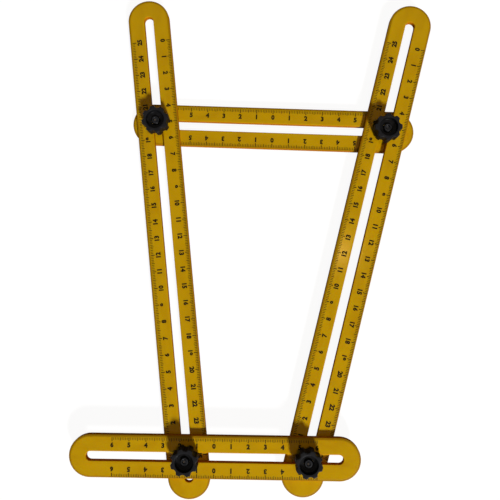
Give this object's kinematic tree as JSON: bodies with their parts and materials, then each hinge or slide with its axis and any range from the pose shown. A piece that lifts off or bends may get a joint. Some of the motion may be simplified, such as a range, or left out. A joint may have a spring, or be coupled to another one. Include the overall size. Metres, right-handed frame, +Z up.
{
  "type": "four-arm angle template",
  "caption": "Flat angle template of long and short slotted rulers, pinned where they cross by sliding clamp bolts with lobed knobs, to copy and measure angles and outlines.",
  "frame": {"origin": "centre of the footprint as stored, on the surface that the rear bolt heads rest on", "axes": "+X along the base ruler, +Y from the base ruler to the top ruler, +Z up out of the front, through the knobs"},
  "size_m": [0.2138, 0.2996, 0.0185],
  "materials": {
    "ruler_plastic": "mustard yellow moulded ABS, lightly mottled satin",
    "knob_plastic": "black moulded plastic, semi-gloss",
    "nut_brass": "plain turned",
    "washer_steel": "zinc plated",
    "bolt_steel": "zinc plated"
  },
  "bodies": {
    "base_ruler": {"base_short_ruler": "ruler_plastic"},
    "lower_left_carriage": {"lower_left_washer": "washer_steel"},
    "lower_left_pivot": {"lower_left_bolt": "bolt_steel"},
    "left_ruler": {"left_long_ruler": "ruler_plastic"},
    "lower_left_grip": {"lower_left_knob": "knob_plastic", "lower_left_knob_nut": "nut_brass"},
    "upper_left_carriage": {"upper_left_washer": "washer_steel"},
    "upper_left_pivot": {"upper_left_bolt": "bolt_steel"},
    "top_ruler": {"top_short_ruler": "ruler_plastic"},
    "upper_left_grip": {"upper_left_knob": "knob_plastic", "upper_left_knob_nut": "nut_brass"},
    "lower_right_carriage": {"lower_right_washer": "washer_steel"},
    "lower_right_pivot": {"lower_right_bolt": "bolt_steel"},
    "right_ruler": {"right_long_ruler": "ruler_plastic"},
    "lower_right_grip": {"lower_right_knob": "knob_plastic", "lower_right_knob_nut": "nut_brass"},
    "upper_right_carriage": {"upper_right_washer": "washer_steel"},
    "upper_right_pivot": {"upper_right_bolt": "bolt_steel"},
    "upper_right_grip": {"upper_right_knob": "knob_plastic", "upper_right_knob_nut": "nut_brass"}
  },
  "joints": [
    {"name": "base_ruler_slide", "type": "slide", "parent": "base_ruler", "child": "lower_left_carriage", "axis": [-1, 0, 0], "range_m": [-0.0182, 0.0566]},
    {"name": "fold", "type": "hinge", "parent": "lower_left_carriage", "child": "lower_left_pivot", "pos_m": [-0.03769, -0.12396, 0.0046], "axis": [0, 0, 1], "range_deg": [-60, 60]},
    {"name": "left_ruler_slide", "type": "slide", "parent": "lower_left_pivot", "child": "left_ruler", "axis": [0.1011, -0.9949, 0], "range_m": [-0.0124, 0.0565]},
    {"name": "lower_left_knob_turn", "type": "hinge", "parent": "lower_left_pivot", "child": "lower_left_grip", "pos_m": [-0.03769, -0.12396, 0.0046], "axis": [0, 0, 1], "continuous": true},
    {"name": "size_slide", "type": "slide", "parent": "lower_left_pivot", "child": "upper_left_carriage", "axis": [-0.1011, 0.9949, 0], "range_m": [-0.06, 0.0066]},
    {"name": "upper_left_hinge", "type": "hinge", "parent": "upper_left_carriage", "child": "upper_left_pivot", "pos_m": [-0.05783, 0.07432, 0.0015], "axis": [0, 0, 1], "range_deg": [-32, 32]},
    {"name": "top_ruler_slide", "type": "slide", "parent": "upper_left_pivot", "child": "top_ruler", "axis": [0.9995, -0.0319, 0], "range_m": [-0.0045, 0.0023]},
    {"name": "upper_left_knob_turn", "type": "hinge", "parent": "upper_left_pivot", "child": "upper_left_grip", "pos_m": [-0.05783, 0.07432, 0.0015], "axis": [0, 0, 1], "continuous": true},
    {"name": "lower_right_slide", "type": "slide", "parent": "lower_left_carriage", "child": "lower_right_carriage", "axis": [1, 0, 0], "range_m": [-0.02184, 0.00285]},
    {"name": "lower_right_hinge", "type": "hinge", "parent": "lower_right_carriage", "child": "lower_right_pivot", "pos_m": [0.03321, -0.12396, 0.0046], "axis": [0, 0, 1], "range_deg": [-61, 61]},
    {"name": "right_ruler_slide", "type": "slide", "parent": "lower_right_pivot", "child": "right_ruler", "axis": [-0.2312, -0.9729, 0], "range_m": [-0.0104, 0.054]},
    {"name": "lower_right_knob_turn", "type": "hinge", "parent": "lower_right_pivot", "child": "lower_right_grip", "pos_m": [0.03321, -0.12396, 0.0046], "axis": [0, 0, 1], "continuous": true},
    {"name": "upper_right_slide", "type": "slide", "parent": "lower_right_pivot", "child": "upper_right_carriage", "axis": [0.2312, 0.9729, 0], "range_m": [-0.0605, 0.0071]},
    {"name": "upper_right_hinge", "type": "hinge", "parent": "upper_right_carriage", "child": "upper_right_pivot", "pos_m": [0.07929, 0.06994, 0.0015], "axis": [0, 0, 1], "range_deg": [-32, 32]},
    {"name": "upper_right_knob_turn", "type": "hinge", "parent": "upper_right_pivot", "child": "upper_right_grip", "pos_m": [0.07929, 0.06994, 0.0015], "axis": [0, 0, 1], "continuous": true}
  ],
  "couplings": [
    {"joint": "upper_left_hinge", "follows": "fold", "ratio": -0.5179},
    {"joint": "lower_right_hinge", "follows": "fold", "ratio": 1},
    {"joint": "upper_right_hinge", "follows": "fold", "ratio": -0.5179},
    {"joint": "lower_right_slide", "follows": "size_slide", "ratio": 0.35574},
    {"joint": "upper_right_slide", "follows": "size_slide", "ratio": 1}
  ]
}
